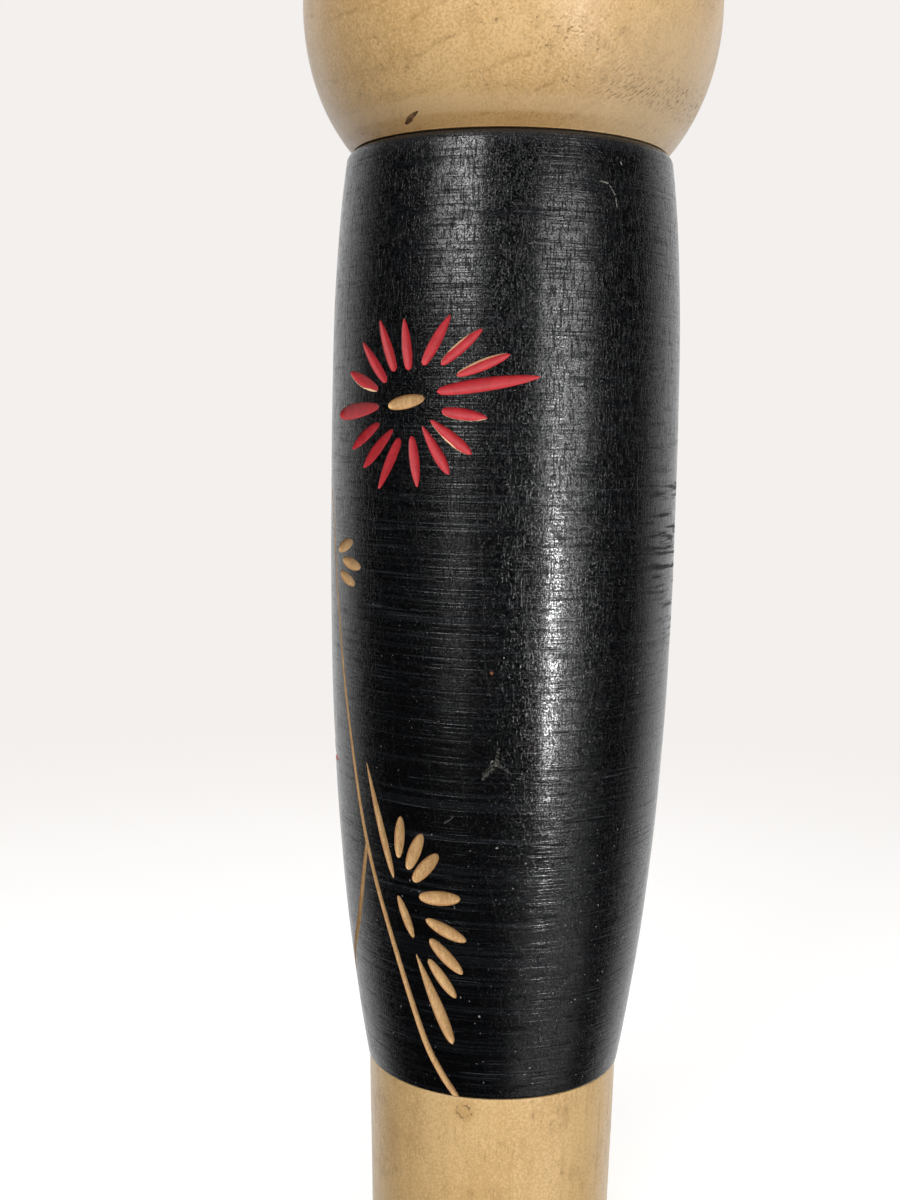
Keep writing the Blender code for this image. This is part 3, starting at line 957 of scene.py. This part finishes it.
def head_wood():
    """The head's wood: darker towards the seam, partly aged and partly painted shade, with a paler strip
    of painted light just above the seam, and worn to torn fibres on one side.
    """
    f = Finish("varnished_head")
    rings = f.rings(place_on(HEAD_SKIN, HEAD_RINGS), (1, 1, 1.4), 9.5 * MM, 1.8)
    pale = (0.82, 0.555, 0.265)
    deep = (0.65, 0.395, 0.160)
    colour, figure, dashes, fibre = wood_colour(f, pale, deep, rings, 0.42, (1100, 1100, 1500), 0.6)
    seam = HEAD_LOW.z
    worn = f.near(place_on(HEAD_SKIN, WORN_PATCH), 34 * MM)
    # Darker towards the seam: partly aged varnish, partly painted shade under the head's rounded lower
    # edge
    aged_and_shaded = f.product(f.level(seam, 10, 1), 0.45, f.less(1.0, worn))
    colour = f.mix(aged_and_shaded, colour, (0.42, 0.215, 0.065))
    fibres = f.noise((1, 1, 1), detail=3, roughness=0.7, place=f.slanted(WORN_PATCH[0], 1400, 420))
    torn = f.product(f.level(seam, 17, 9, 0.12, 1.0), f.level(seam, 4, 7, 0.3, 1.0))
    ticks = f.product(f.remap(worn, 0.0, 0.6), torn, f.remap(fibres, 0.50, 0.64))
    colour = f.mix(f.product(worn, 0.6), colour, (0.84, 0.62, 0.38))
    colour = f.mix(f.product(ticks, 0.75), colour, (0.27, 0.13, 0.04))
    # Painted light: a paler strip just above the seam, as if the rounded lower edge caught the light
    painted_edge_light = f.product(f.level(seam, 2.2, 3.2), f.level(seam, 7.5, 5))
    colour = f.mix(f.product(painted_edge_light, 0.35), colour, (0.86, 0.62, 0.35))
    grey = f.near(place_on(HEAD_SKIN, GREY_SIDE), 45 * MM)
    colour = f.mix(f.product(grey, 0.3), colour, (0.62, 0.43, 0.26))
    return varnish(f, colour, figure, f.math("MAXIMUM", dashes, ticks), fibre)


def base_wood():
    """The base's wood: straight grain and a small knot with a swirl round it."""
    f = Finish("varnished_base")
    rings = f.rings((-0.05, 0.06, 0), (1, 1, 0.03), 5 * MM, 1.2)
    pale = (0.81, 0.555, 0.265)
    deep = (0.66, 0.42, 0.180)
    colour, figure, dashes, fibre = wood_colour(f, pale, deep, rings, 0.3, (1500, 1500, 420), 0.42)
    knot = place_on(BASE_SKIN, KNOT)
    around = f.math("DIVIDE", f.vector("DISTANCE", f.place, tuple(knot)), 1.0 * MM)
    swirl = f.total((1.1, around), (5.0, f.noise((420, 420, 420), detail=2, shift=9)), (-4.3, 1.0))
    curl = f.remap(f.math("ABSOLUTE", swirl), 0.42, 0.1)
    gaps = f.remap(f.noise((600, 600, 600), detail=1, shift=10), 0.38, 0.5)
    curl = f.product(f.near(knot, 3.8 * MM), curl, gaps)
    colour = f.mix(f.product(f.near(knot, 4.5 * MM), 0.35), colour, (0.46, 0.26, 0.09))
    colour = f.mix(f.product(curl, 0.8), colour, (0.16, 0.075, 0.025))
    return varnish(f, colour, figure, f.math("MAXIMUM", dashes, curl), fibre)


def bare_grain(f):
    """Colour and relief of wood just cut by a tool: matte, with its pores open."""
    fibre = f.noise((1900, 1900, 330), detail=2, roughness=0.6)
    grains = f.noise((2300, 2300, 2300), detail=1, shift=1)
    wide = f.noise((240, 240, 120), detail=2, shift=2)
    tone = f.total((0.5, fibre), (0.45, grains), (0.35, wide))
    colour = f.mix(f.remap(tone, 0.5, 0.82), (0.47, 0.262, 0.102), (0.69, 0.440, 0.205))
    pits = f.remap(f.noise((2100, 2100, 1500), detail=1, shift=3), 0.68, 0.78)
    return f.mix(f.product(pits, 0.5), colour, (0.30, 0.15, 0.05)), tone


def bare_wood(name, in_cuts):
    """Unfinished wood.  In the gouge cuts it is darker close to their edges: dye stain there, and painted
    shade on the cuts' steep walls.
    """
    f = Finish(name)
    colour, tone = bare_grain(f)
    if in_cuts:
        edge = f.math("ABSOLUTE", f.layer("cut_place")[0])
        # Darker close to the cut's edges: partly dye stain, partly painted shade on the steep walls
        dye_stain_and_shade = f.product(f.remap(edge, 0.72, 0.98), 0.75)
        colour = f.mix(dye_stain_and_shade, colour, (0.30, 0.13, 0.04))
    f.set(Base_Color=colour, Roughness=0.62)
    f.bump(tone, 0.08 * MM)
    return f.material


def red_paint():
    """Red paint brushed into a cut.  Where it stops short of the edge, bare wood shows."""
    f = Finish("red_paint")
    edge = f.math("ABSOLUTE", f.layer("cut_place")[0])
    inside, tone = f.layer("cut_paint")
    blot = f.noise((520, 520, 520), detail=3, roughness=0.6)
    brushed = f.noise((1900, 1900, 1900), detail=2, shift=1)
    colour = f.mix(f.remap(blot, 0.3, 0.7), (0.44, 0.019, 0.029), (0.575, 0.029, 0.042))
    colour = f.mix(f.product(tone, 0.4), colour, (0.52, 0.038, 0.038))
    # Darker towards the cut's edges: partly paint gathered against the walls, partly painted shade in the
    # cut
    colour = f.mix(f.product(f.remap(edge, 0.86, 0.98), 0.85), colour, (0.045, 0.004, 0.006))
    ragged = f.product(f.math("SUBTRACT", blot, 0.5), 0.12)
    paint = f.remap(f.math("ADD", inside, ragged), 0.0, 0.035)
    # The bare rim is paler than bare wood elsewhere: painted light on the rim's wall
    wood = f.mix(0.6, bare_grain(f)[0], (0.95, 0.70, 0.42))
    f.set(Base_Color=f.mix(paint, wood, colour), Roughness=0.5)
    f.bump(f.total((0.6, brushed), (0.6, blot), (0.5, paint)), 0.06 * MM)
    return f.material


def hair_ink():
    """Black hair, brushed on in fine strokes that run down from the crown."""
    f = Finish("hair_black")
    outwards = f.vector("NORMALIZE", f.vector("MULTIPLY", f.place, (1, 1, 0)))
    spot = f.vector("ADD", outwards, f.vector("MULTIPLY", f.place, (0, 0, 1)))
    strands = f.noise((95, 95, 50), detail=3, roughness=0.7, place=spot)
    locks = f.noise((22, 22, 25), detail=3, roughness=0.6, place=spot, shift=1)
    speck = f.noise((2200, 2200, 2200), detail=1)
    thin = f.product(f.remap(strands, 0.5, 0.75), f.remap(locks, 0.4, 0.65))
    f.set(Base_Color=f.mix(thin, (0.0035, 0.0035, 0.004), (0.030, 0.022, 0.015)))
    f.bump(f.total((1.0, strands), (0.6, locks), (0.2, speck)), 0.10 * MM)
    f.set(Roughness=f.total((0.25, strands), (0.15, locks), (0.12, 1.0)))
    return f.material


def ink(name, dark, light, roughness):
    """Paint brushed on varnished wood, thinner in places."""
    f = Finish(name)
    brushed = f.noise((900, 900, 260), detail=3, roughness=0.6)
    thin = f.remap(f.noise((420, 420, 420), detail=2, shift=1), 0.35, 0.75)
    f.set(Base_Color=f.mix(thin, dark, light))
    f.bump(brushed, 0.05 * MM)
    f.set(Roughness=f.total((0.2, brushed), (roughness, 1.0)))
    return f.material


# ---- stage


def add_softbox(name, azimuth, elevation, width, height, radiance):
    """A soft light that faces the doll.  Azimuth as seen from the doll, in degrees from the camera."""
    target = Vector((0, 0, 200 * MM))
    away = direction(azimuth, elevation)
    light = bpy.data.lights.new(name, "AREA")
    light.shape = "RECTANGLE"
    light.size = width
    light.size_y = height
    light.energy = radiance * math.pi * width * height
    box = bpy.data.objects.new(name, light)
    bpy.context.scene.collection.objects.link(box)
    box.location = target + away * SOFTBOX_DISTANCE
    box.rotation_euler = away.to_track_quat("Z", "Y").to_euler()
    box.visible_camera = False
    return box


def direction(azimuth, elevation):
    """A unit direction, its azimuth in degrees from the camera's side."""
    turn = math.radians(CAMERA_AZIMUTH + azimuth)
    lift = math.radians(elevation)
    return Vector((math.sin(turn) * math.cos(lift), -math.cos(turn) * math.cos(lift), math.sin(lift)))


def make_world():
    """A pale studio: white behind the doll, dim on the camera's side, with a glow from the table."""
    world = bpy.data.worlds.new("studio")
    bpy.context.scene.world = world
    world.use_nodes = True
    g = Graph(world.node_tree)
    g.nodes.clear()
    look = g.add("ShaderNodeTexCoord").outputs["Generated"]
    behind = g.remap(g.vector("DOT_PRODUCT", look, tuple(direction(180, 0))), 0.14, 0.70, 0.015, 1.25)
    table = g.remap(g.vector("DOT_PRODUCT", look, tuple(direction(50, -38))), 0.86, 0.98, 0.0, 0.8)
    around = g.add("ShaderNodeBackground")
    g.feed(around.inputs["Strength"], g.math("ADD", behind, table))
    seen = g.add("ShaderNodeBackground")
    seen.inputs["Color"].default_value = (*BACKGROUND, 1)
    mix = g.add("ShaderNodeMixShader")
    g.feed(mix.inputs[0], g.add("ShaderNodeLightPath").outputs["Is Camera Ray"])
    g.feed(mix.inputs[1], around.outputs[0])
    g.feed(mix.inputs[2], seen.outputs[0])
    g.feed(g.add("ShaderNodeOutputWorld").inputs["Surface"], mix.outputs[0])


def make_floor():
    """A pale floor that fades into the backdrop away from the doll."""
    bm = bmesh.new()
    bmesh.ops.create_circle(bm, cap_ends=True, segments=128, radius=6)
    f = Finish("pale_floor")
    f.set(Base_Color=(0.88, 0.875, 0.87), Roughness=0.9, Emission_Color=(1.0, 0.99, 0.98))
    f.set(Specular_IOR_Level=0.1, Emission_Strength=FLOOR_GLOW)
    far = f.add("ShaderNodeEmission")
    far.inputs["Color"].default_value = (*BACKGROUND, 1)
    mix = f.add("ShaderNodeMixShader")
    f.feed(mix.inputs[0], f.remap(f.vector("LENGTH", f.place), 0.0, 0.75))
    f.feed(mix.inputs[1], f.surface.outputs[0])
    f.feed(mix.inputs[2], far.outputs[0])
    f.feed(f.nodes["Material Output"].inputs["Surface"], mix.outputs[0])
    floor = object_of(mesh_from(bm, "floor"), [f.material])
    floor.visible_glossy = False
    floor.visible_diffuse = False


def make_camera():
    """The camera, close in front of the barrel and looking slightly down."""
    turn = math.radians(CAMERA_AZIMUTH)
    yaw = math.radians(CAMERA_YAW)
    pitch = math.radians(CAMERA_PITCH)
    roll = math.radians(CAMERA_ROLL)
    inward = Vector((-math.sin(turn), math.cos(turn), 0))
    rightward = Vector((math.cos(turn), math.sin(turn), 0))
    ahead = rightward * math.sin(yaw) * math.cos(pitch) + inward * math.cos(yaw) * math.cos(pitch)
    ahead.z = math.sin(pitch)
    level = rightward * math.cos(yaw) - inward * math.sin(yaw)
    up = level.cross(ahead)
    right = level * math.cos(roll) + up * math.sin(roll)
    true_up = up * math.cos(roll) - level * math.sin(roll)
    data = bpy.data.cameras.new("camera")
    data.sensor_fit = "VERTICAL"
    data.sensor_height = 36
    data.lens = LENS
    data.clip_start = 0.01
    camera = bpy.data.objects.new("camera", data)
    bpy.context.scene.collection.objects.link(camera)
    place = Vector((0, 0, CAMERA_HEIGHT)) - inward * CAMERA_DISTANCE
    facing = Matrix((right, true_up, -ahead)).transposed().to_4x4()
    camera.matrix_world = Matrix.Translation(place) @ facing
    bpy.context.scene.camera = camera


def make_stage():
    """The world, the floor and the soft lights."""
    make_world()
    make_floor()
    for softbox in SOFTBOXES:
        box = add_softbox(*softbox)
        box.visible_glossy = box.name != "fill"  # the fill is too wide to show in the gloss
    bpy.context.scene.view_settings.view_transform = "Standard"


def finish_pegs(material):
    """The pegs keep their CAD shapes."""
    for name in ("neck_peg", "foot_peg"):
        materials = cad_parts[name].data.materials
        materials.clear()
        materials.append(material)


make_camera()
make_stage()
make_barrel([black_dye(), red_paint(), bare_wood("cut_wood", True)])
make_base([base_wood()])
# The dents are inked darker: partly dirt, partly painted shade in the hollows
make_head([head_wood(), ink("dent_dirt_and_shade", (0.045, 0.018, 0.006), (0.36, 0.19, 0.075), 0.5)])
make_hair([hair_ink()])
face_ink = ink("face_ink", (0.006, 0.006, 0.007), (0.020, 0.017, 0.015), 0.28)
make_face([face_ink, ink("lip_red", (0.45, 0.025, 0.03), (0.60, 0.06, 0.05), 0.35)])
finish_pegs(bare_wood("raw_wood", False))
